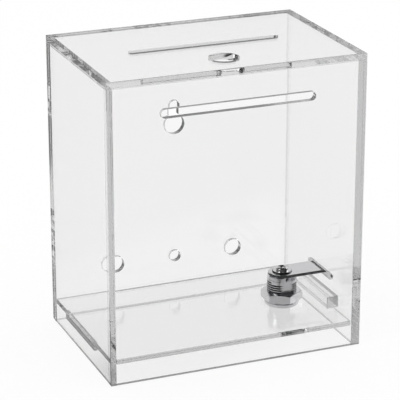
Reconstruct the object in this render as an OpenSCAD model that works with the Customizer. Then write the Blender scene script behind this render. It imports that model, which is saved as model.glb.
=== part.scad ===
// Clear acrylic ballot box: slots in the lid and in the front wall, a back wall that hangs on
// screws, and a loose bottom plate that a cam lock holds in a slot of the right wall.
// X runs from left to right, Y from front to back, Z up. The origin is the middle of the base.

/* [Box] */
// Outside width
box_w = 149; // [130:1:220]
// Outside depth
box_d = 100; // [90:1:160]
// Outside height
box_h = 171; // [150:1:260]
// Thickness of the acrylic walls
wall_t = 4; // [3:0.5:6]

/* [Lid] */
// Length of the slot in the lid
lid_slot_l = 88; // [50:1:100]
// Width of the slot in the lid
lid_slot_w = 4; // [2:0.5:8]
// Diameter of the round hole in the lid
lid_hole_d = 16.5; // [8:0.5:20]
// Distance of the round hole's centre from the lid's front edge
lid_hole_inset = 22; // [18:1:30]

/* [Front wall] */
// Length of the slot in the front wall
front_slot_l = 89; // [50:1:100]
// Height of the opening of that slot
front_slot_w = 5; // [3:0.5:8]
// Distance of that slot's centre below the top of the box
front_slot_drop = 20.5; // [12:0.5:40]

/* [Back wall] */
// Diameter of the keyhole's round entry
keyhole_d = 12; // [9:0.5:16]
// Width of the keyhole's neck
keyhole_neck_w = 6; // [4:0.5:8]
// Distance between the entry's centre and the centre of the neck's round end
keyhole_neck_l = 11.2; // [9:0.1:16]
// Distance of the entry's centre below the top of the box
keyhole_drop = 59.5; // [40:0.5:80]
// Diameter of the two screw holes
screw_hole_d = 10; // [5:0.5:12]
// Distance between the two screw holes
screw_hole_pitch = 74; // [40:1:90]
// Diameter of the small hole between them
centre_hole_d = 6.8; // [3:0.1:8]
// Height of the three holes above the base
screw_hole_z = 30; // [24:1:45]

/* [Floor] */
// Thickness of the bottom plate and of the strip behind it
floor_t = 3; // [2:0.5:5]
// Height of the open space under the bottom plate
floor_z = 11; // [10:0.5:20]
// Gap between the bottom plate and the walls
plate_gap = 0.3; // [0.2:0.1:1]
// Depth of the fixed strip behind the bottom plate
rear_strip_d = 23.5; // [10:0.5:30]
// Gap between that strip and the bottom plate
rear_gap = 1; // [0.4:0.1:2]
// Length of the ledge on the left wall
ledge_l = 49; // [20:1:70]
// Distance of the ledge's front end from the inside of the front wall
ledge_inset = 26.5; // [5:0.5:30]
// Width of the ledge
ledge_w = 2; // [1:0.5:5]
// Height of the ledge
ledge_h = 3; // [2:0.5:6]
// Length of the rail on the right wall
rail_l = 50; // [20:1:60]
// Distance of the rail's front end from the inside of the front wall
rail_inset = 17.5; // [5:0.5:25]
// Side of the square rail
rail_side = 7; // [4:0.5:8]
// Gap between the bottom plate and the rail above it
rail_gap = 1.5; // [0.5:0.1:3]

/* [Lock housing] */
// Distance of the lock's axis from the inside of the right wall
lock_inset = 22.5; // [21:0.5:30]
// Outside diameter of the barrel, over its thread
barrel_d = 17; // [16.6:0.1:18.5]
// Length of the barrel above the head
barrel_l = 15.6; // [15:0.1:22]
// Distance across the barrel's two flats
barrel_flats = 14.8; // [14.2:0.1:16]
// Diameter of the head below the plate
head_d = 20; // [19:0.5:22]
// Height of the head
head_h = 2; // [1.8:0.1:3]
// Chamfer of the head's lower edge
head_chamfer = 0.5; // [0.2:0.1:0.8]
// Distance across the flats of the nut
nut_flats = 21; // [20.5:0.5:23]
// Height of the nut
nut_h = 5; // [3:0.5:6]
// Depth of the chamfer on the nut's corners
nut_chamfer = 0.5; // [0.2:0.1:0.8]

/* [Lock core] */
// Diameter of the turning core
plug_d = 11; // [10.5:0.1:11.5]
// Diameter of the core's face in the head
plug_face_d = 13; // [12.5:0.1:14]
// Depth of that face
plug_face_h = 1.5; // [1:0.1:1.6]
// Side of the square tail that drives the cam
tail_side = 7; // [6:0.1:7.4]
// Gap round the turning core
turn_gap = 0.05; // [0.02:0.01:0.1]
// Height of the keyway's cross-section
keyway_h = 6.6; // [5:0.1:7]
// Width of the keyway
keyway_w = 1.8; // [1.2:0.1:2]
// Length of the keyway from the face
keyway_l = 15; // [14.6:0.1:15.4]
// Thickness of a tumbler
wafer_t = 1.4; // [1:0.1:1.6]
// Distance from one tumbler to the next
wafer_pitch = 2.5; // [2.2:0.1:2.5]
// Width of a tumbler
wafer_w = 4.6; // [4:0.1:5]
// Distance of the first tumbler above the core's face
wafer_start = 2.8; // [2.4:0.1:3]
// Diameter of a tumbler's spring
spring_d = 1.2; // [0.8:0.1:1.3]
// Length of a tumbler's spring
spring_l = 2.8; // [2:0.1:3]

/* [Cam] */
// Thickness of the ring that limits the turn
stop_t = 2.2; // [1.5:0.1:3]
// Diameter of that ring
stop_d = 16.6; // [15:0.1:17]
// Turn of the lock from locked to open, in degrees
turn_angle = 90; // [45:5:90]
// Width of the stop on the housing, in degrees
stop_angle = 25; // [15:1:40]
// Bearing of the stop's edge that faces the free gap, in degrees from the cam
stop_bearing = -96; // [-110:1:-80]
// Width of the cam
cam_w = 16; // [12:0.5:18]
// Thickness of the cam
cam_t = 1.8; // [1:0.1:2.5]
// Radius of the corners at the cam's tip
cam_corner_r = 1.5; // [0.5:0.1:3]
// Distance of the cam's tip from the outside of the right wall
cam_tip_gap = 1; // [0.5:0.1:2]
// Gap above and below the cam in the wall's slot
cam_slot_gap = 0.6; // [0.3:0.1:1]
// Room that the swinging cam has at the slot's front end
cam_swing_gap = 4; // [1:0.5:5]
// Room beside the cam at the slot's back end
cam_side_gap = 4.5; // [1:0.5:6]
// Diameter of the washer on the cam
washer_d = 11.4; // [9:0.1:14]
// Thickness of that washer
washer_t = 0.8; // [0.5:0.1:1.5]
// Diameter of the cam screw
screw_d = 4; // [3:0.1:4.2]
// Length of the cam screw below its head
screw_l = 6; // [4:0.5:6.5]
// Diameter of the screw's head
screw_head_d = 7.3; // [6.5:0.1:9]
// Height of the screw's head
screw_head_h = 1.9; // [1.5:0.1:3]
// Length of each arm pair of the cross recess
recess_l = 4.2; // [3:0.1:5]
// Width of the cross recess
recess_w = 1.1; // [0.8:0.1:1.3]
// Depth of the cross recess
recess_depth = 1.1; // [0.6:0.1:1.3]
// Gap between pieces that are pushed together
fit_gap = 0.1; // [0.05:0.05:0.2]

/* [Hidden] */

// Faces for the round shapes
$fn = 96;
// How far a cut runs past the face that it opens
past = 1;
// Inside half-width and half-depth of the box
inner_x = box_w / 2 - wall_t;
inner_y = box_d / 2 - wall_t;
// Height of the walls under the lid
wall_h = box_h - wall_t;
// Top of the bottom plate
plate_top = floor_z + floor_t;
// Back edge of the bottom plate
plate_back = inner_y - rear_strip_d - rear_gap;
// Place of the lock's axis
lock_x = inner_x - lock_inset;
// Heights of the lock's pieces, from its face upwards
face_z = floor_z - head_h;
barrel_top = floor_z + barrel_l;
cam_z = barrel_top + stop_t;
washer_z = cam_z + cam_t;
screw_z = washer_z + washer_t;
// Radius of the core's bore and of the grooves that locked tumblers drop into
bore_r = plug_d / 2 + turn_gap;
groove_r = bore_r + 1.2;
// Distance from the lock's axis to the cam's tip
cam_reach = lock_inset + wall_t - cam_tip_gap;
// How far forward the cam's corner reaches where it swings out of the wall
swing_y = sqrt(pow(cam_reach, 2) + pow(cam_w / 2, 2) - pow(lock_inset, 2));
// Spring pocket beside each tumbler: its middle and its width
pocket_w = spring_d + 0.3;
pocket_y = wafer_w / 2 + pocket_w / 2;
// Angle left free on both sides of the stop
stop_play = 2;
acrylic = [0.86, 0.93, 0.95, 0.35];
chrome = [0.78, 0.79, 0.81];

// A slot with round ends, as long as l and as wide as w, lying in the XY plane
module round_slot(l, w) {
    square([l - w, w], center = true);
    for (side = [-1, 1])
        translate([side * (l - w) / 2, 0])
            circle(d = w);
}

// Turns a shape drawn in the XY plane into a cut right through a front or back wall at y
module cut_y(y, z) {
    translate([0, y + wall_t / 2, z])
        rotate([90, 0, 0])
            linear_extrude(wall_t + 2 * past, center = true)
                children();
}

// The part of a disc between two bearings, drawn in the XY plane
module sector(r, from, to) {
    steps = 6;
    far = r * 2;
    intersection() {
        circle(r = r);
        polygon(concat([[0, 0]], [for (i = [0 : steps])
            far * [cos(from + (to - from) * i / steps), sin(from + (to - from) * i / steps)]]));
    }
}

// A round piece with a chamfer on its lower edge
module chamfered_disc(d, h, chamfer) {
    rotate_extrude()
        polygon([[0, 0], [d / 2 - chamfer, 0], [d / 2, chamfer], [d / 2, h], [0, h]]);
}

module top_panel() {
    color(acrylic)
        translate([0, 0, wall_h])
            linear_extrude(wall_t)
                difference() {
                    square([box_w, box_d], center = true);
                    round_slot(lid_slot_l, lid_slot_w);
                    translate([0, lid_hole_inset - box_d / 2])
                        circle(d = lid_hole_d);
                }
}

module front_panel() {
    color(acrylic)
        difference() {
            translate([-box_w / 2, -box_d / 2, 0])
                cube([box_w, wall_t, wall_h]);
            cut_y(-box_d / 2, box_h - front_slot_drop)
                round_slot(front_slot_l, front_slot_w);
        }
}

module back_panel() {
    color(acrylic)
        difference() {
            translate([-box_w / 2, inner_y, 0])
                cube([box_w, wall_t, wall_h]);
            cut_y(inner_y, box_h - keyhole_drop) {
                circle(d = keyhole_d);
                translate([0, keyhole_neck_l])
                    circle(d = keyhole_neck_w);
                translate([-keyhole_neck_w / 2, 0])
                    square([keyhole_neck_w, keyhole_neck_l]);
            }
            cut_y(inner_y, screw_hole_z) {
                circle(d = centre_hole_d);
                for (side = [-1, 1])
                    translate([side * screw_hole_pitch / 2, 0])
                        circle(d = screw_hole_d);
            }
        }
}

module left_panel() {
    color(acrylic)
        translate([-box_w / 2, -inner_y, 0])
            cube([wall_t, 2 * inner_y, wall_h]);
}

// The cam's tip stands in a slot that is longer towards the front, where the cam swings out
module right_panel() {
    slot_front = swing_y + cam_swing_gap;
    slot_back = cam_w / 2 + cam_side_gap;
    slot_l = slot_front + slot_back;
    color(acrylic)
        difference() {
            translate([inner_x, -inner_y, 0])
                cube([wall_t, 2 * inner_y, wall_h]);
            translate([inner_x + wall_t / 2, (slot_back - slot_front) / 2, cam_z + cam_t / 2])
                rotate([90, 0, 90])
                    linear_extrude(wall_t + 2 * past, center = true)
                        round_slot(slot_l, cam_t + 2 * cam_slot_gap);
        }
}

module rear_strip() {
    color(acrylic)
        translate([-inner_x, inner_y - rear_strip_d, floor_z])
            cube([2 * inner_x, rear_strip_d, floor_t]);
}

module left_ledge() {
    color(acrylic)
        translate([-inner_x, ledge_inset - inner_y, floor_z - ledge_h])
            cube([ledge_w, ledge_l, ledge_h]);
}

module right_rail() {
    color(acrylic)
        translate([inner_x - rail_side, rail_inset - inner_y, plate_top + rail_gap])
            cube([rail_side, rail_l, rail_side]);
}

// The barrel's outline: a circle with two flats that face the front and the back
module barrel_outline(gap) {
    intersection() {
        circle(d = barrel_d + 2 * gap);
        square([barrel_d + 2 * past, barrel_flats + 2 * gap], center = true);
    }
}

module door_plate() {
    color(acrylic)
        difference() {
            translate([plate_gap - inner_x, plate_gap - inner_y, floor_z])
                cube([2 * (inner_x - plate_gap), plate_back + inner_y - plate_gap, floor_t]);
            translate([lock_x, 0, floor_z - past])
                linear_extrude(floor_t + 2 * past)
                    barrel_outline(fit_gap);
        }
}

// The head lies under the plate, and the stop stands on the barrel's upper end
module lock_housing() {
    color(chrome)
        translate([lock_x, 0, face_z])
            difference() {
                union() {
                    chamfered_disc(head_d, head_h, head_chamfer);
                    translate([0, 0, head_h])
                        linear_extrude(barrel_l)
                            barrel_outline(0);
                    translate([0, 0, head_h + barrel_l - past])
                        linear_extrude(stop_t + past - fit_gap)
                            intersection() {
                                sector(stop_d / 2, stop_bearing - stop_angle, stop_bearing);
                                barrel_outline(0);
                            }
                }
                translate([0, 0, -past])
                    cylinder(r = bore_r, h = head_h + barrel_l + stop_t + 2 * past);
                translate([0, 0, -past])
                    cylinder(d = plug_face_d + 2 * turn_gap, h = plug_face_h + turn_gap + past);
                translate([-groove_r, -wafer_w / 2 - fit_gap, plug_face_h + past / 2])
                    cube([2 * groove_r, wafer_w + 2 * fit_gap, barrel_l + head_h]);
            }
}

// A hexagon nut with its corners chamfered on both sides
module lock_nut() {
    corner_r = nut_flats / 2 / cos(30);
    flat_r = nut_flats / 2;
    color(chrome)
        translate([lock_x, 0, plate_top])
            difference() {
                intersection() {
                    rotate([0, 0, 30])
                        cylinder(r = corner_r, h = nut_h, $fn = 6);
                    rotate_extrude()
                        polygon([[0, 0], [flat_r, 0], [corner_r, nut_chamfer],
                            [corner_r, nut_h - nut_chamfer], [flat_r, nut_h], [0, nut_h]]);
                }
                translate([0, 0, -past])
                    cylinder(d = barrel_d + fit_gap, h = nut_h + 2 * past);
            }
}

// Height of tumbler i's underside, counted from 1
function wafer_z(i) = face_z + wafer_start + (i - 1) * wafer_pitch;
// How far tumbler i's window sits off the core's axis, as its key cut asks
function wafer_shift(i) = 0.35 * (i % 3 - 1);

// The room that tumbler i needs in the core: a slot right across and a blind spring pocket
module wafer_room(i) {
    translate([0, 0, wafer_z(i) - fit_gap / 2]) {
        translate([-plug_d, -wafer_w / 2 - fit_gap / 2, 0])
            cube([2 * plug_d, wafer_w + fit_gap, wafer_t + fit_gap]);
        translate([-spring_l, 0, 0])
            cube([spring_l + 2, wafer_w / 2 + pocket_w, wafer_t + fit_gap]);
    }
}

module lock_plug() {
    color(chrome)
        difference() {
            union() {
                translate([lock_x, 0, face_z])
                    cylinder(d = plug_face_d, h = plug_face_h);
                translate([lock_x, 0, face_z])
                    cylinder(d = plug_d, h = barrel_top - face_z);
                translate([lock_x - tail_side / 2, -tail_side / 2, barrel_top - past])
                    cube([tail_side, tail_side, cam_z + cam_t - fit_gap - barrel_top + past]);
            }
            translate([lock_x - keyway_h / 2, -keyway_w / 2, face_z - past])
                cube([keyway_h, keyway_w, keyway_l + past]);
            translate([lock_x, 0, 0])
                for (i = [1 : 5])
                    wafer_room(i);
            translate([lock_x, 0, screw_z - screw_l - fit_gap])
                cylinder(d = screw_d + fit_gap, h = screw_l + 2 * past);
        }
}

// A tumbler: a flat plate with round ends, a window for the key and a lug on its spring
module wafer(i) {
    lug_l = 1.5;
    color("goldenrod")
        translate([lock_x, 0, wafer_z(i)])
            linear_extrude(wafer_t)
                difference() {
                    union() {
                        intersection() {
                            circle(r = plug_d / 2 - fit_gap);
                            square([plug_d, wafer_w], center = true);
                        }
                        square([lug_l, wafer_w / 2 + pocket_w - fit_gap]);
                    }
                    translate([wafer_shift(i), 0])
                        square([keyway_h - 0.6, keyway_w + 0.2], center = true);
                }
}

// The spring pushes on the tumbler's lug from the pocket's blind end
module wafer_spring(i) {
    wire_d = 0.2;
    color("silver")
        translate([lock_x - spring_l, pocket_y, wafer_z(i) + wafer_t / 2])
            rotate([0, 90, 0])
                difference() {
                    cylinder(d = spring_d, h = spring_l);
                    translate([0, 0, -past])
                        cylinder(d = spring_d - 2 * wire_d, h = spring_l + 2 * past);
                }
}

module square_hole(side) {
    square(side + fit_gap, center = true);
}

// The ring turns with the core until the edge of its cut-away meets the housing's stop
module stop_washer() {
    cut_from = stop_bearing - stop_angle - stop_play;
    cut_to = stop_bearing + turn_angle + stop_play;
    color(chrome)
        translate([lock_x, 0, barrel_top])
            linear_extrude(stop_t)
                difference() {
                    circle(d = stop_d);
                    difference() {
                        sector(stop_d / 2 + past, cut_from, cut_to);
                        circle(r = bore_r - fit_gap);
                    }
                    square_hole(tail_side);
                }
}

module cam() {
    tip = cam_reach - cam_corner_r;
    color(chrome)
        translate([lock_x, 0, cam_z])
            linear_extrude(cam_t)
                difference() {
                    union() {
                        circle(d = cam_w);
                        translate([0, -cam_w / 2])
                            square([tip, cam_w]);
                        translate([0, cam_corner_r - cam_w / 2])
                            square([cam_reach, cam_w - 2 * cam_corner_r]);
                        for (side = [-1, 1])
                            translate([tip, side * (cam_w / 2 - cam_corner_r)])
                                circle(r = cam_corner_r);
                    }
                    square_hole(tail_side);
                }
}

module cam_washer() {
    color(chrome)
        translate([lock_x, 0, washer_z])
            linear_extrude(washer_t)
                difference() {
                    circle(d = washer_d);
                    circle(d = screw_d + 2 * fit_gap);
                }
}

// Pan-head screw: the head's edge is a quarter of an ellipse, its top is flat
module cam_screw() {
    edge_h = screw_head_h * 0.4;
    flat_r = screw_head_d * 0.3;
    color(chrome)
        translate([lock_x, 0, screw_z])
            difference() {
                union() {
                    rotate_extrude()
                        polygon(concat([[0, 0], [screw_head_d / 2, 0]],
                            [for (a = [0 : 10 : 90])
                                [flat_r + (screw_head_d / 2 - flat_r) * cos(a),
                                edge_h + (screw_head_h - edge_h) * sin(a)]],
                            [[0, screw_head_h]]));
                    translate([0, 0, -screw_l])
                        cylinder(d = screw_d, h = screw_l + past);
                }
                for (turn = [0, 90])
                    rotate([0, 0, 45 + turn])
                        translate([-recess_l / 2, -recess_w / 2, screw_head_h - recess_depth])
                            cube([recess_l, recess_w, recess_depth + past]);
            }
}

top_panel();
front_panel();
back_panel();
left_panel();
right_panel();
rear_strip();
left_ledge();
right_rail();
door_plate();
lock_housing();
lock_nut();
lock_plug();
wafer(1);  // wafer_1
wafer(2);  // wafer_2
wafer(3);  // wafer_3
wafer(4);  // wafer_4
wafer(5);  // wafer_5
wafer_spring(1);  // wafer_spring_1
wafer_spring(2);  // wafer_spring_2
wafer_spring(3);  // wafer_spring_3
wafer_spring(4);  // wafer_spring_4
wafer_spring(5);  // wafer_spring_5
stop_washer();
cam();
cam_washer();
cam_screw();
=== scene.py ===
"""Looks of a clear acrylic ballot box with a cam lock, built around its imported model."""
import math

import bmesh
import bpy
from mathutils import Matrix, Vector


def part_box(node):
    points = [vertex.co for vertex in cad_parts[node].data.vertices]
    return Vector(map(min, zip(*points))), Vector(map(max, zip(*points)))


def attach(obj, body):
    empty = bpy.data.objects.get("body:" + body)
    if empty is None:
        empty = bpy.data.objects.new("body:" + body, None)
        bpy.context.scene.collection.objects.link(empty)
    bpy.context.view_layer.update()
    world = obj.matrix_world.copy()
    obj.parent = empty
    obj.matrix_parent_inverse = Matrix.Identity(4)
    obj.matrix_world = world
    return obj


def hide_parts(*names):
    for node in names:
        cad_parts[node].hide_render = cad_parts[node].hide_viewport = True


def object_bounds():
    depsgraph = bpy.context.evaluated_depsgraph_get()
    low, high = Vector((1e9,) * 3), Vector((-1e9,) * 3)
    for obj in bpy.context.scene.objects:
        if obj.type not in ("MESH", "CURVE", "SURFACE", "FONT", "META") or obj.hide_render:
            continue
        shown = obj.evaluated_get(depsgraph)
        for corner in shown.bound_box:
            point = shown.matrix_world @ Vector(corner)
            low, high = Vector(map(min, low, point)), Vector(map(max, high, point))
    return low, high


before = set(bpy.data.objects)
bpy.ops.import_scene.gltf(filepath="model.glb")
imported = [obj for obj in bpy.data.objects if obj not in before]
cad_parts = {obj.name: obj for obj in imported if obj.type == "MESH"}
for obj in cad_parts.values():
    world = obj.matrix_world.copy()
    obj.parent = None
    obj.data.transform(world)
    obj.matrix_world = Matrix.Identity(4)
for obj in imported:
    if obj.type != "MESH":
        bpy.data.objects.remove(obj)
cad_low, cad_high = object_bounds()

# The camera stands where the photograph was taken: to the left of the box, in front of it and
# well above it, with a long lens. Its place was fitted to the box's corners in the photograph.
camera_place = Vector((-0.4018, -0.9812, 0.4683))
camera_turn = math.radians(-22.147)
camera_drop = math.radians(20.104)
focal_pixels = 2010.7
picture_pixels = 400

camera_data = bpy.data.cameras.new("camera")
camera_data.sensor_width = 36
camera_data.lens = camera_data.sensor_width * focal_pixels / picture_pixels
camera_data.clip_end = 20
camera = bpy.data.objects.new("camera", camera_data)
towards_camera = Vector((math.sin(camera_turn) * math.cos(camera_drop),
                         -math.cos(camera_turn) * math.cos(camera_drop),
                         math.sin(camera_drop)))
camera.location = camera_place
camera.rotation_euler = towards_camera.to_track_quat("Z", "Y").to_euler()
bpy.context.scene.collection.objects.link(camera)
bpy.context.scene.camera = camera
bpy.context.scene.view_settings.view_transform = "Standard"

# Light that enters a clear sheet by its edge is mirrored many times before it comes out.
bpy.context.scene.cycles.max_bounces = 64
bpy.context.scene.cycles.transmission_bounces = 64
bpy.context.scene.cycles.glossy_bounces = 48


def add_node(tree, kind, settings=None, links=None):
    """Adds a node, sets its inputs or properties, and links sockets to its inputs."""
    node = tree.nodes.new(kind)
    for name, value in (settings or {}).items():
        if isinstance(name, int) or name in node.inputs:
            node.inputs[name].default_value = value
        else:
            setattr(node, name, value)
    for name, socket in (links or {}).items():
        tree.links.new(socket, node.inputs[name])
    return node


def linear(hex_colour):
    """Turns an sRGB colour written as RRGGBB into the linear colour that a socket takes."""
    channels = [int(hex_colour[i:i + 2], 16) / 255 for i in (0, 2, 4)]
    return [c / 12.92 if c <= 0.04045 else ((c + 0.055) / 1.055) ** 2.4 for c in channels] + [1]


def set_stops(ramp_node, stops):
    """Gives a colour ramp its stops, each a place from 0 to 1 and an sRGB colour."""
    elements = ramp_node.color_ramp.elements
    while len(elements) < len(stops):
        elements.new(0.5)
    for element, (place, colour) in zip(elements, stops):
        element.position = place
        element.color = linear(colour)


# The studio: a white wall behind the table, and a dim room overhead and on the other sides. The
# metal and the cut edges mirror it. Straight through the clear faces, as round the box, only
# the plain white background shows.
behind = (0.38, 0.92, 0.0)
to_the_right = (0.92, -0.38, 0.0)
plain_white = (1, 1, 1, 1)
dim = linear("202020")
world = bpy.data.worlds.new("studio")
bpy.context.scene.world = world
world.use_nodes = True
sky = world.node_tree
sky.nodes.clear()
direction = add_node(sky, "ShaderNodeTexCoord")
facing = add_node(sky, "ShaderNodeVectorMath", {"operation": "DOT_PRODUCT", 1: behind},
                  {0: direction.outputs["Generated"]})
turned = add_node(sky, "ShaderNodeMapRange", {"From Min": -1.0, "From Max": 1.0},
                  {"Value": facing.outputs["Value"]})
room = add_node(sky, "ShaderNodeValToRGB", {}, {"Fac": turned.outputs["Result"]})
set_stops(room, [(0.0, "202020"), (0.4, "1C1C1C"), (0.72, "242424"), (0.79, "DEDEDE"),
                 (1.0, "E2E2E2")])
upward = add_node(sky, "ShaderNodeSeparateXYZ", {}, {0: direction.outputs["Generated"]})
overhead = add_node(sky, "ShaderNodeMapRange", {"From Min": 0.6, "From Max": 0.75},
                    {"Value": upward.outputs["Z"]})
studio = add_node(sky, "ShaderNodeMix", {"data_type": "RGBA", 7: dim},
                  {0: overhead.outputs["Result"], 6: room.outputs["Color"]})
path = add_node(sky, "ShaderNodeLightPath")
mirrored = add_node(sky, "ShaderNodeMath", {"operation": "MINIMUM", 1: 1.0},
                    {0: path.outputs["Glossy Depth"]})
shown = add_node(sky, "ShaderNodeMix", {"data_type": "RGBA", 6: plain_white},
                 {0: mirrored.outputs[0], 7: studio.outputs[2]})
glow = add_node(sky, "ShaderNodeBackground", {"Strength": 1.0}, {"Color": shown.outputs[2]})
add_node(sky, "ShaderNodeOutputWorld", {}, {"Surface": glow.outputs["Background"]})


def softbox(name, place, aim, size, watts):
    """A square soft lamp at place, turned to the point aim."""
    lamp_data = bpy.data.lights.new(name, "AREA")
    lamp_data.size = size
    lamp_data.energy = watts
    lamp = bpy.data.objects.new(name, lamp_data)
    lamp.location = place
    lamp.rotation_euler = (Vector(place) - Vector(aim)).to_track_quat("Z", "Y").to_euler()
    bpy.context.scene.collection.objects.link(lamp)


box_middle = (cad_low + cad_high) / 2
softbox("left softbox", (-1.1, -0.3, 0.9), box_middle, 0.7, 3)
softbox("right softbox", (1.2, 0.1, 0.8), box_middle, 0.6, 2)

# The table is one sheet of white paper. Seen directly or through the acrylic it is almost white,
# with the box's faint shadow. Mirrored, its glow is painted light and shade: a lit table whose
# front and right are painted dim.
floor_half = 6
floor_z = -0.0004
shadow_share = 0.1
floor_mesh = bpy.data.meshes.new("floor")
floor_mesh.from_pydata([(x, y, floor_z) for x, y in ((-floor_half, -floor_half),
                                                     (floor_half, -floor_half),
                                                     (floor_half, floor_half),
                                                     (-floor_half, floor_half))],
                       [], [(0, 1, 2, 3)])
floor = bpy.data.objects.new("floor", floor_mesh)
bpy.context.scene.collection.objects.link(floor)
paper = bpy.data.materials.new("white paper sweep")
paper.use_nodes = True
table = paper.node_tree
table.nodes.clear()
spot = add_node(table, "ShaderNodeTexCoord")
back = add_node(table, "ShaderNodeVectorMath", {"operation": "DOT_PRODUCT", 1: behind},
                {0: spot.outputs["Object"]})
lit_part = add_node(table, "ShaderNodeMapRange", {"From Min": -0.2, "From Max": 0.2},
                    {"Value": back.outputs["Value"]})
table_tone = add_node(table, "ShaderNodeValToRGB", {}, {"Fac": lit_part.outputs["Result"]})
set_stops(table_tone, [(0.0, "404040"), (0.15, "282828"), (0.34, "2A2A2A"), (0.42, "D0D0D0"),
                       (0.6, "E4E4E4")])
aside = add_node(table, "ShaderNodeVectorMath", {"operation": "DOT_PRODUCT", 1: to_the_right},
                 {0: spot.outputs["Object"]})
dim_part = add_node(table, "ShaderNodeMapRange", {"From Min": 0.12, "From Max": 0.22},
                    {"Value": aside.outputs["Value"]})
# The mirrored table's glow is painted shade in front and to the right, painted light behind the
# box.
mirrored_table = add_node(table, "ShaderNodeMix", {"data_type": "RGBA", 7: dim},
                          {0: dim_part.outputs["Result"], 6: table_tone.outputs["Color"]})
rays = add_node(table, "ShaderNodeLightPath")
mirrored = add_node(table, "ShaderNodeMath", {"operation": "MINIMUM", 1: 1.0},
                    {0: rays.outputs["Glossy Depth"]})
tone = add_node(table, "ShaderNodeMix", {"data_type": "RGBA", 6: plain_white},
                {0: mirrored.outputs[0], 7: mirrored_table.outputs[2]})
matt = add_node(table, "ShaderNodeBsdfDiffuse", {"Color": linear("F2F2F2")})
lit = add_node(table, "ShaderNodeEmission", {"Strength": 1.0}, {"Color": tone.outputs[2]})
direct = add_node(table, "ShaderNodeMath", {"operation": "SUBTRACT", 0: 1.0},
                  {1: rays.outputs["Is Diffuse Ray"]})
lit_share = add_node(table, "ShaderNodeMath", {"operation": "MULTIPLY", 1: 1 - shadow_share},
                     {0: direct.outputs[0]})
both = add_node(table, "ShaderNodeMixShader", {},
                {0: lit_share.outputs[0], 1: matt.outputs[0], 2: lit.outputs[0]})
add_node(table, "ShaderNodeOutputMaterial", {}, {"Surface": both.outputs[0]})
floor_mesh.materials.append(paper)


# The box's walls, lid, plate and strips are cast acrylic sheet, cut by laser and cemented. Their
# faces are clear and flat. The cut edges are glassy, with fine upright streaks from the beam.
def empty_material(name):
    """A new material with no nodes."""
    material = bpy.data.materials.new(name)
    material.use_nodes = True
    material.node_tree.nodes.clear()
    return material


def clear_acrylic(tree, colour, rough, ior=1.49, links=None):
    """The shader of clear acrylic."""
    return add_node(tree, "ShaderNodeBsdfPrincipled",
                    {"Base Color": linear(colour), "Roughness": rough, "IOR": ior,
                     "Transmission Weight": 1.0}, links)


def plain_acrylic(name, colour, rough):
    """A clear acrylic with the same surface all over."""
    material = empty_material(name)
    surface = clear_acrylic(material.node_tree, colour, rough)
    add_node(material.node_tree, "ShaderNodeOutputMaterial", {}, {"Surface": surface.outputs[0]})
    return material


sheet_face = plain_acrylic("clear cast acrylic", "FFFFFF", 0.0)
# A sawn edge is rough; its dark grey is painted shade.
sawn_edge_painted_shade = plain_acrylic("saw-cut acrylic edge with painted shade", "5E5E5E", 0.4)
sanded_edge = plain_acrylic("sanded acrylic edge", "E4E4E4", 0.3)

# The streaks follow the UV map, which runs along a cut and across it.
streak_mm = 0.5
streak_length_mm = 15
streak_depth = 0.0001
laser_edge = empty_material("laser-cut acrylic edge")
edge_tree = laser_edge.node_tree
cut = add_node(edge_tree, "ShaderNodeUVMap", {"uv_map": "cut"})
stretched = add_node(edge_tree, "ShaderNodeMapping",
                     {"Scale": (1000 / streak_mm, 1000 / streak_length_mm, 1)},
                     {"Vector": cut.outputs["UV"]})
streaks = add_node(edge_tree, "ShaderNodeTexNoise", {"Scale": 1.0, "Detail": 2.0},
                   {"Vector": stretched.outputs["Vector"]})
grooves = add_node(edge_tree, "ShaderNodeBump", {"Strength": 0.008, "Distance": streak_depth},
                   {"Height": streaks.outputs[0]})
cut_surface = clear_acrylic(edge_tree, "FDFDFD", 0.08, links={"Normal": grooves.outputs[0]})
add_node(edge_tree, "ShaderNodeOutputMaterial", {}, {"Surface": cut_surface.outputs[0]})

# Solvent cement melts the sheets into one another where they meet, so light passes a joint as
# if the sheets were one piece. Low down in the front joints a few bubbles of air are caught.
bubble_spacing_mm = 1.6
bubble_radius_mm = 0.5
bubble_share = 0.3
bubbles_top = 0.038
bubbles_bottom = 0.016
bubbles_front = -0.044
cemented = empty_material("solvent-cemented joint")
joint_tree = cemented.node_tree
joint_place = add_node(joint_tree, "ShaderNodeTexCoord")
joint_axes = add_node(joint_tree, "ShaderNodeSeparateXYZ", {},
                      {0: joint_place.outputs["Object"]})
cells = add_node(joint_tree, "ShaderNodeTexVoronoi", {"Scale": 1000 / bubble_spacing_mm},
                 {"Vector": joint_place.outputs["Object"]})
inside = add_node(joint_tree, "ShaderNodeMath",
                  {"operation": "LESS_THAN", 1: bubble_radius_mm / bubble_spacing_mm},
                  {0: cells.outputs["Distance"]})
chosen = add_node(joint_tree, "ShaderNodeMath", {"operation": "LESS_THAN", 1: bubble_share},
                  {0: cells.outputs["Color"]})
low_down = add_node(joint_tree, "ShaderNodeMath",
                    {"operation": "COMPARE", 1: (bubbles_top + bubbles_bottom) / 2,
                     2: (bubbles_top - bubbles_bottom) / 2},
                    {0: joint_axes.outputs["Z"]})
in_front = add_node(joint_tree, "ShaderNodeMath", {"operation": "LESS_THAN", 1: bubbles_front},
                    {0: joint_axes.outputs["Y"]})
bubble = inside
for condition in (chosen, low_down, in_front):
    bubble = add_node(joint_tree, "ShaderNodeMath", {"operation": "MULTIPLY"},
                      {0: bubble.outputs[0], 1: condition.outputs[0]})
melted = clear_acrylic(joint_tree, "F4F4F4", 0.0, ior=1.0)
air_pocket = add_node(joint_tree, "ShaderNodeBsdfPrincipled",
                      {"Base Color": linear("FFFFFF"), "Roughness": 0.5})
joint_surface = add_node(joint_tree, "ShaderNodeMixShader", {},
                         {0: bubble.outputs[0], 1: melted.outputs[0], 2: air_pocket.outputs[0]})
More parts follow.
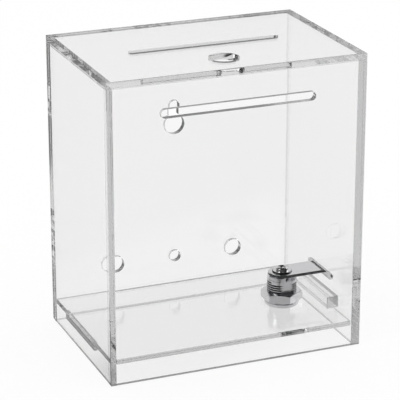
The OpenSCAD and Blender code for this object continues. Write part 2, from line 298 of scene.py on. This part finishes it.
add_node(joint_tree, "ShaderNodeOutputMaterial", {}, {"Surface": joint_surface.outputs[0]})

flat_angle = math.radians(1)
sharp_angle = math.radians(25)
same_place = 1e-6


def round_faces(mesh):
    """Shades the faces of curved surfaces smooth, and the plane ones flat."""
    for face in mesh.faces:
        face.smooth = any(flat_angle < edge.calc_face_angle(0) < sharp_angle
                          for edge in face.edges)


def eased(name, chamfer):
    """A copy of a CAD node's mesh, its loose triangles joined and its sharp edges chamfered."""
    mesh = bmesh.new()
    mesh.from_mesh(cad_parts[name].data)
    bmesh.ops.remove_doubles(mesh, verts=mesh.verts, dist=same_place)
    bmesh.ops.dissolve_limit(mesh, angle_limit=flat_angle, verts=mesh.verts, edges=mesh.edges)
    sharp = [edge for edge in mesh.edges if edge.calc_face_angle(0) > sharp_angle]
    bmesh.ops.bevel(mesh, geom=sharp, offset=chamfer, segments=1, affect="EDGES",
                    clamp_overlap=True)
    mesh.normal_update()
    round_faces(mesh)
    return mesh


def finished(mesh, name, materials, body, node):
    """Makes a mesh the piece that stands for a CAD node, with the materials its faces use."""
    bmesh.ops.triangulate(mesh, faces=[face for face in mesh.faces if len(face.verts) > 4])
    mesh.normal_update()
    for edge in mesh.edges:
        edge.smooth = edge.calc_face_angle(0) < sharp_angle
    used = sorted({face.material_index for face in mesh.faces})
    for face in mesh.faces:
        face.material_index = used.index(face.material_index)
    data = bpy.data.meshes.new(name)
    mesh.to_mesh(data)
    mesh.free()
    for index in used:
        data.materials.append(materials[index])
    piece = bpy.data.objects.new(name, data)
    bpy.context.scene.collection.objects.link(piece)
    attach(piece, body)
    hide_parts(node)


sheet_chamfer = 0.0002
joint_air = 0.00001
cemented_sheets = ["front_panel", "back_panel", "left_panel", "right_panel", "top_panel",
                   "rear_strip", "left_ledge", "right_rail"]


def joints_of(name):
    """Where a sheet is cemented to others: for each joint its axis and its two far corners."""
    joints = []
    if name in cemented_sheets:
        low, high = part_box(name)
        for other in cemented_sheets:
            other_low, other_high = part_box(other)
            start = [max(low[i], other_low[i]) for i in range(3)]
            end = [min(high[i], other_high[i]) for i in range(3)]
            depth = [end[i] - start[i] for i in range(3)]
            flat = [i for i in range(3) if abs(depth[i]) < joint_air]
            if other != name and len(flat) == 1 and min(depth) > -joint_air:
                joints.append((flat[0], start, end))
    return joints


def cut_along(mesh, axis, place):
    """Cuts a mesh's faces along the plane at a place on an axis."""
    bmesh.ops.bisect_plane(mesh, geom=mesh.verts[:] + mesh.edges[:] + mesh.faces[:],
                           dist=same_place, plane_co=[place if i == axis else 0 for i in range(3)],
                           plane_no=[1 if i == axis else 0 for i in range(3)])


# A sheet's faces, its laser-cut edges and its joints each have their finish. The ledge's long
# edges are left as they were sawn, rough and painted dark as painted shade, and the edges that the
# box stands on are sanded flat, except the front panel's, which is painted dark as a painted
# contact shadow.
finishes = [sheet_face, laser_edge, cemented, sawn_edge_painted_shade, sanded_edge]
for name in cemented_sheets + ["door_plate"]:
    sheet = eased(name, sheet_chamfer)
    low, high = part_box(name)
    size = high - low
    middle = (low + high) / 2
    thin = min(range(3), key=lambda i: size[i])
    across = Vector([1 if i == thin else 0 for i in range(3)])
    joints = joints_of(name)
    for axis, start, end in joints:
        for i in {0, 1, 2} - {axis}:
            cut_along(sheet, i, start[i] + sheet_chamfer)
            cut_along(sheet, i, end[i] - sheet_chamfer)
    sheet.normal_update()
    cut_map = sheet.loops.layers.uv.new("cut")
    for face in sheet.faces:
        finish = sheet_face if abs(face.normal.dot(across)) > 0.5 else laser_edge
        if name == "left_ledge" and abs(face.normal.y) < 0.5:
            finish = sawn_edge_painted_shade
        if low.z < joint_air and face.normal.z < -0.9:
            # The front panel's bottom edge gets the dark sawn finish: a painted contact shadow.
            finish = sawn_edge_painted_shade if name == "front_panel" else sanded_edge
        centre = face.calc_center_median()
        for axis, start, end in joints:
            if (abs(face.normal[axis]) > 0.99 and abs(centre[axis] - start[axis]) < joint_air
                    and all(start[i] < centre[i] < end[i] for i in {0, 1, 2} - {axis})):
                finish = cemented
        face.material_index = finishes.index(finish)
        face.smooth = abs(face.normal.dot(across)) < 0.1
        along = face.normal.cross(across)
        for corner in face.loops:
            place = corner.vert.co
            corner[cut_map].uv = (place.dot(along), place.dot(across))
    # The sheets are a hair smaller than cut, so that no two faces lie in the same place.
    for vertex in sheet.verts:
        for i in range(3):
            vertex.co[i] = middle[i] + (vertex.co[i] - middle[i]) * (1 - 2 * joint_air / size[i])
    finished(sheet, name + "_sheet", finishes, "box", name)


# The lock's housing is die-cast zinc with a bright chrome plate. Its barrel has two flats and a
# fine thread for the nut, which ends just below the barrel's top.
def metal(name, colour, rough, grain_mm):
    """A metal whose polish varies a little, in patches of the size grain_mm, under a thin haze."""
    haze_share = 0.27
    haze_rough = 0.3
    material = empty_material(name)
    tree = material.node_tree
    spot = add_node(tree, "ShaderNodeTexCoord")
    patches = add_node(tree, "ShaderNodeTexNoise", {"Scale": 1000 / grain_mm, "Detail": 3.0},
                       {"Vector": spot.outputs["Object"]})
    polish = add_node(tree, "ShaderNodeMapRange",
                      {"To Min": rough * 0.6, "To Max": rough * 1.4},
                      {"Value": patches.outputs[0]})
    bright = add_node(tree, "ShaderNodeBsdfPrincipled",
                      {"Base Color": linear(colour), "Metallic": 1.0},
                      {"Roughness": polish.outputs[0]})
    haze = add_node(tree, "ShaderNodeBsdfPrincipled",
                    {"Base Color": linear(colour), "Metallic": 1.0, "Roughness": haze_rough})
    both = add_node(tree, "ShaderNodeMixShader", {"Fac": haze_share},
                    {1: bright.outputs[0], 2: haze.outputs[0]})
    add_node(tree, "ShaderNodeOutputMaterial", {}, {"Surface": both.outputs[0]})
    return material


thread_pitch = 0.00135
thread_depth = 0.0008
thread_overcut = 0.00025
barrel_radius = 0.0085
barrel_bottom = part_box("door_plate")[0].z
barrel_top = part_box("stop_washer")[0].z
lock_low, lock_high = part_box("lock_housing")
lock_axis = (lock_low + lock_high) / 2
chrome = metal("chrome on die-cast zinc", "F2F2F4", 0.05, 1.5)


def add_input(tree, name, kind, value=None):
    """Adds a named input to a geometry tree and returns its identifier."""
    socket = tree.interface.new_socket(name=name, in_out="INPUT", socket_type="NodeSocket" + kind)
    if value is not None:
        socket.default_value = value
    return socket.identifier


# The thread is a groove of sixty degrees, swept along a helix and cut from the barrel.
thread_tree = bpy.data.node_groups.new("cut thread", "GeometryNodeTree")
add_input(thread_tree, "Barrel", "Geometry")
thread_inputs = {
    add_input(thread_tree, "Pitch", "Float"): thread_pitch,
    add_input(thread_tree, "Radius", "Float"): barrel_radius,
    add_input(thread_tree, "Depth", "Float"): thread_depth,
    add_input(thread_tree, "Length", "Float"): barrel_top - barrel_bottom - 2 * thread_pitch,
    add_input(thread_tree, "Start", "Vector"): (lock_axis.x, lock_axis.y,
                                                barrel_bottom + thread_pitch),
    add_input(thread_tree, "Finish", "Material"): chrome,
}
thread_tree.interface.new_socket(name="Threaded", in_out="OUTPUT",
                                 socket_type="NodeSocketGeometry")
given = add_node(thread_tree, "NodeGroupInput")
turns = add_node(thread_tree, "ShaderNodeMath", {"operation": "DIVIDE"},
                 {0: given.outputs["Length"], 1: given.outputs["Pitch"]})
cutter_height = add_node(thread_tree, "ShaderNodeMath", {"operation": "ADD", 1: thread_overcut},
                         {0: given.outputs["Depth"]})
cutter_radius = add_node(thread_tree, "ShaderNodeMath", {"operation": "DIVIDE", 1: 1.5},
                         {0: cutter_height.outputs[0]})
root = add_node(thread_tree, "ShaderNodeMath", {"operation": "SUBTRACT"},
                {0: given.outputs["Radius"], 1: given.outputs["Depth"]})
helix_radius = add_node(thread_tree, "ShaderNodeMath", {"operation": "ADD"},
                        {0: root.outputs[0], 1: cutter_radius.outputs[0]})
helix = add_node(thread_tree, "GeometryNodeCurveSpiral", {"Resolution": 96, "Reverse": True},
                 {"Rotations": turns.outputs[0], "Start Radius": helix_radius.outputs[0],
                  "End Radius": helix_radius.outputs[0], "Height": given.outputs["Length"]})
point_inwards = add_node(thread_tree, "GeometryNodeReverseCurve", {}, {"Curve": helix.outputs[0]})
upright = add_node(thread_tree, "GeometryNodeSetCurveNormal", {"mode": "Z_UP"},
                   {"Curve": point_inwards.outputs[0]})
tooth = add_node(thread_tree, "GeometryNodeCurvePrimitiveCircle",
                 {"mode": "RADIUS", "Resolution": 3}, {"Radius": cutter_radius.outputs[0]})
groove = add_node(thread_tree, "GeometryNodeCurveToMesh", {"Fill Caps": True},
                  {"Curve": upright.outputs[0], "Profile Curve": tooth.outputs[0]})
placed = add_node(thread_tree, "GeometryNodeTransform", {},
                  {"Geometry": groove.outputs[0], "Translation": given.outputs["Start"]})
threaded = add_node(thread_tree, "GeometryNodeMeshBoolean",
                    {"operation": "DIFFERENCE", "solver": "EXACT"},
                    {"Mesh 1": given.outputs["Barrel"], "Mesh 2": placed.outputs[0]})
plain = add_node(thread_tree, "GeometryNodeRealizeInstances", {}, {0: threaded.outputs[0]})
plated = add_node(thread_tree, "GeometryNodeSetMaterial", {},
                  {"Geometry": plain.outputs[0], "Material": given.outputs["Finish"]})
add_node(thread_tree, "NodeGroupOutput", {}, {0: plated.outputs[0]})


def grown(tree, inputs, start):
    """Runs a geometry tree on a start mesh and returns its result as one plain bmesh."""
    data = bpy.data.meshes.new(tree.name)
    start.to_mesh(data)
    start.free()
    holder = bpy.data.objects.new(tree.name, data)
    bpy.context.scene.collection.objects.link(holder)
    modifier = holder.modifiers.new(tree.name, "NODES")
    modifier.node_group = tree
    for identifier, value in inputs.items():
        modifier[identifier] = value
    view = bpy.context.evaluated_depsgraph_get()
    result = bpy.data.meshes.new_from_object(holder.evaluated_get(view))
    bpy.data.objects.remove(holder)
    mesh = bmesh.new()
    mesh.from_mesh(result)
    bmesh.ops.remove_doubles(mesh, verts=mesh.verts, dist=same_place)
    return mesh


# The thread's flanks are dull and painted dark: painted shade in the groove, where the thread lies
# in shadow. The flanks slope thirty degrees from level.
groove_painted_shade = metal("thread groove with painted shade", "58585A", 0.4, 0.3)
flank_level = math.cos(math.radians(30))
near = 0.0003
housing = grown(thread_tree, thread_inputs, eased("lock_housing", 0.0002))
round_faces(housing)
for face in housing.faces:
    centre = face.calc_center_median()
    out = math.hypot(centre.x - lock_axis.x, centre.y - lock_axis.y)
    # The thread's flanks take the painted shade.
    face.material_index = int(abs(abs(face.normal.z) - flank_level) < 0.1
                              and out > barrel_radius - thread_depth - near
                              and barrel_bottom < centre.z < barrel_top - near)
finished(housing, "threaded_housing", [chrome, groove_painted_shade], "box",
         "lock_housing")


def dress(names, material):
    """Gives CAD nodes their material."""
    for name in names:
        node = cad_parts[name]
        node.data.materials.clear()
        node.data.materials.append(material)


# The core turns in the housing. It is cast and plated like it, and the key enters from below.
dress(["lock_plug"], chrome)

# The nut clamps the housing to the plate. It is steel, turned and milled, with a bright plate
# that shows its chamfers.
plated_steel = metal("bright plated steel", "F2F2F4", 0.06, 0.8)
finished(eased("lock_nut", 0.0004), "bright_nut", [plated_steel], "box",
         "lock_nut")

# The stop washer, the cam and its washer and screw sit on the core's square tail. They are
# stamped or headed from steel, then plated. The cam's and its washer's edges are dull, with
# painted shade.
stamped_edge_painted_shade = metal("dull stamped edge with painted shade", "6C6C6E", 0.35, 0.3)
for name, painted_shade_below in [("stop_washer", 0), ("cam", 0.5), ("cam_washer", 0.9), ("cam_screw", 0)]:
    piece = eased(name, 0.0003)
    for face in piece.faces:
        # Steep faces get the dull edge, painted dark as painted shade.
        face.material_index = int(abs(face.normal.z) < painted_shade_below)
    finished(piece, "bright_" + name, [plated_steel, stamped_edge_painted_shade], "lock_core",
             name)

# The tumblers are punched from brass sheet, and their springs are wound from steel wire.
dress([f"wafer_{i}" for i in range(1, 6)], metal("punched brass", "C9A14E", 0.3, 0.5))
dress([f"wafer_spring_{i}" for i in range(1, 6)], metal("drawn spring wire", "A9A9AB", 0.3, 0.3))
